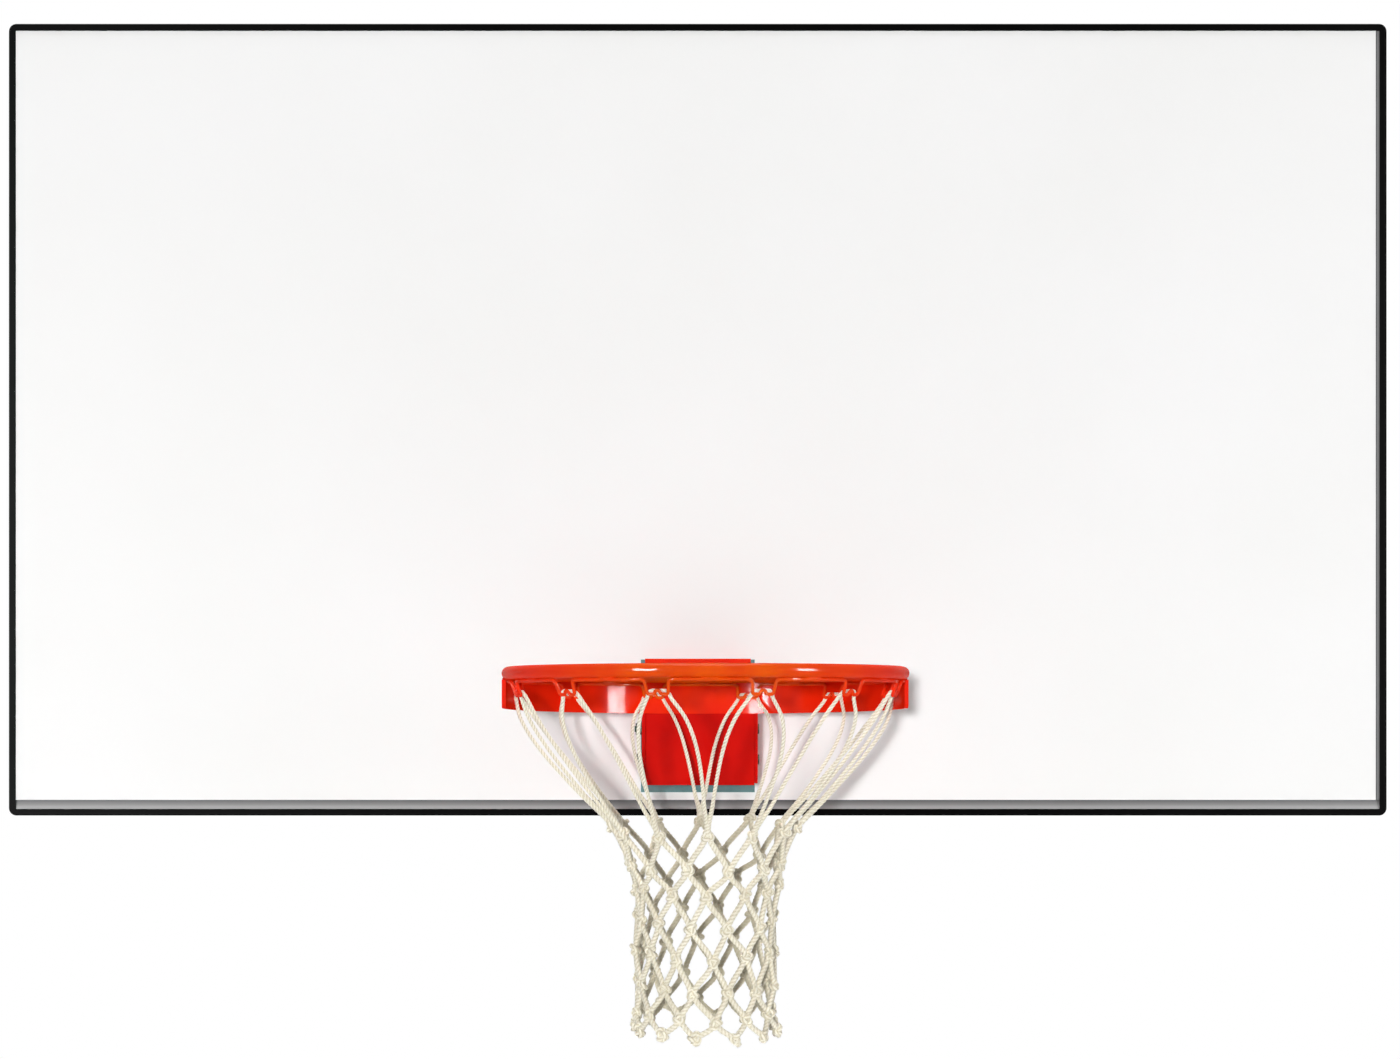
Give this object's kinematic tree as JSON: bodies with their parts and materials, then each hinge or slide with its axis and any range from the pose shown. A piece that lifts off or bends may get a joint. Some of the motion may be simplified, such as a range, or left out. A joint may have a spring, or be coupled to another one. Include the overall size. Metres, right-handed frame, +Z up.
{
  "type": "basketball backboard",
  "caption": "Basketball backboard with a black-edged white face, a rear tube frame and a sprung breakaway rim that carries a knotted net.",
  "frame": {"origin": "centre of the four mounting holes, on the rear plane of the mounting ears", "axes": "+X to the right seen from the court, +Y back towards the wall, +Z up"},
  "size_m": [1.829, 0.691, 1.3111],
  "materials": {
    "white_sheet": "gloss",
    "backing": "satin",
    "black_rail": "satin",
    "grey_bead": "matte",
    "frame_steel": "satin",
    "black_plastic": "matte",
    "zinc": "satin",
    "pad_rubber": "matte",
    "rim_paint": "gloss",
    "black_rubber": "matte",
    "cord": "matte",
    "bush_bronze": "satin",
    "spring_steel": "satin"
  },
  "bodies": {
    "board": {"face_sheet": "white_sheet", "backing_board": "backing", "rail_top": "black_rail", "rail_bottom": "black_rail", "rail_left": "black_rail", "rail_right": "black_rail", "bead_bottom": "grey_bead", "bead_right": "grey_bead", "upright_left": "frame_steel", "upright_right": "frame_steel", "crossbar_upper": "frame_steel", "crossbar_lower": "frame_steel", "outrigger_upper_left": "frame_steel", "outrigger_upper_right": "frame_steel", "outrigger_lower_left": "frame_steel", "outrigger_lower_right": "frame_steel", "rim_post_left": "frame_steel", "rim_post_right": "frame_steel", "mount_ear_upper_left": "frame_steel", "mount_ear_upper_right": "frame_steel", "mount_ear_lower_left": "frame_steel", "mount_ear_lower_right": "frame_steel", "rim_backing_plate": "frame_steel", "tube_plugs": "black_plastic", "corner_plates": "zinc", "mounting_pad": "pad_rubber", "back_plate": "rim_paint", "cheek_left": "rim_paint", "cheek_right": "rim_paint", "rim_bolts": "zinc", "rim_washers": "zinc", "rim_nuts": "zinc", "pivot_bolt": "zinc", "pivot_nut": "zinc", "pivot_spacer": "zinc", "stop_bolt": "zinc", "stop_nut": "zinc", "stop_spacers": "zinc", "stop_bumpers": "black_rubber"},
    "rim": {"front_plate": "rim_paint", "flange_left": "rim_paint", "flange_right": "rim_paint", "carrier_top": "rim_paint", "spring_web": "rim_paint", "saddle_upper": "rim_paint", "saddle_lower": "rim_paint", "ring": "rim_paint", "ring_brace": "rim_paint", "net_hooks": "rim_paint", "net": "cord", "pivot_bushes": "bush_bronze"},
    "spring_rods": {"rod_left": "zinc", "rod_right": "zinc", "spring_left": "spring_steel", "spring_right": "spring_steel", "rod_washers": "zinc", "rod_nuts": "zinc"}
  },
  "joints": [
    {"name": "breakaway", "type": "hinge", "parent": "board", "child": "rim", "pos_m": [0, -0.112, -0.4505], "axis": [1, 0, 0], "range_deg": [0, 30], "stiffness_Nm_per_rad": 238, "springref_deg": -22.92, "deforming": ["spring_left", "spring_right"]},
    {"name": "spring_rod_swing", "type": "hinge", "parent": "board", "child": "spring_rods", "pos_m": [0, -0.112, -0.4105], "axis": [1, 0, 0], "range_deg": [0, 22.5]}
  ],
  "couplings": [
    {"joint": "spring_rod_swing", "follows": "breakaway", "ratio": 0.75}
  ]
}
